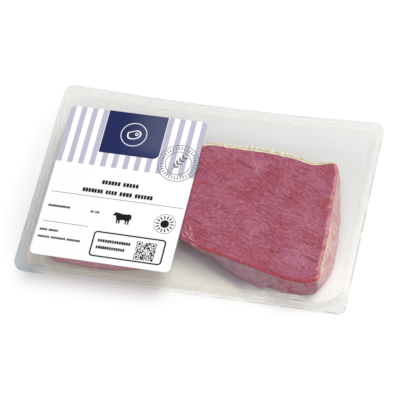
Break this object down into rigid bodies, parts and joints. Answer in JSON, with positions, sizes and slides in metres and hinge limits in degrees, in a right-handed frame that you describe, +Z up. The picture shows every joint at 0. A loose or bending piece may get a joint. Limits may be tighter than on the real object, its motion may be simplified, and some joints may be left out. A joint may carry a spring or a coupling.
{
  "type": "meat tray pack",
  "caption": "Sealed clear tray pack of raw beef fillets, with a flat flange, a clear lid film and a printed paper label on the left half.",
  "frame": {"origin": "middle of the pack's outline, on the plane that the tray's base rests on", "axes": "+Z up through the film, +X along the long side towards the shown meat, +Y towards the back edge that bows in"},
  "size_m": [0.23, 0.15, 0.0214],
  "materials": {
    "tray_plastic": "clear thermoformed sheet, glossy, slightly milky",
    "lid_film": "clear glossy lidding film",
    "label_paper": "smooth white coated paper with printed fields",
    "beef": "moist raw beef, satin, fine fibre grain with pale flecks"
  },
  "bodies": {
    "root": {"tray": "tray_plastic", "film": "lid_film", "label": "label_paper", "filet_right": "beef", "filet_left": "beef"}
  },
  "joints": []
}
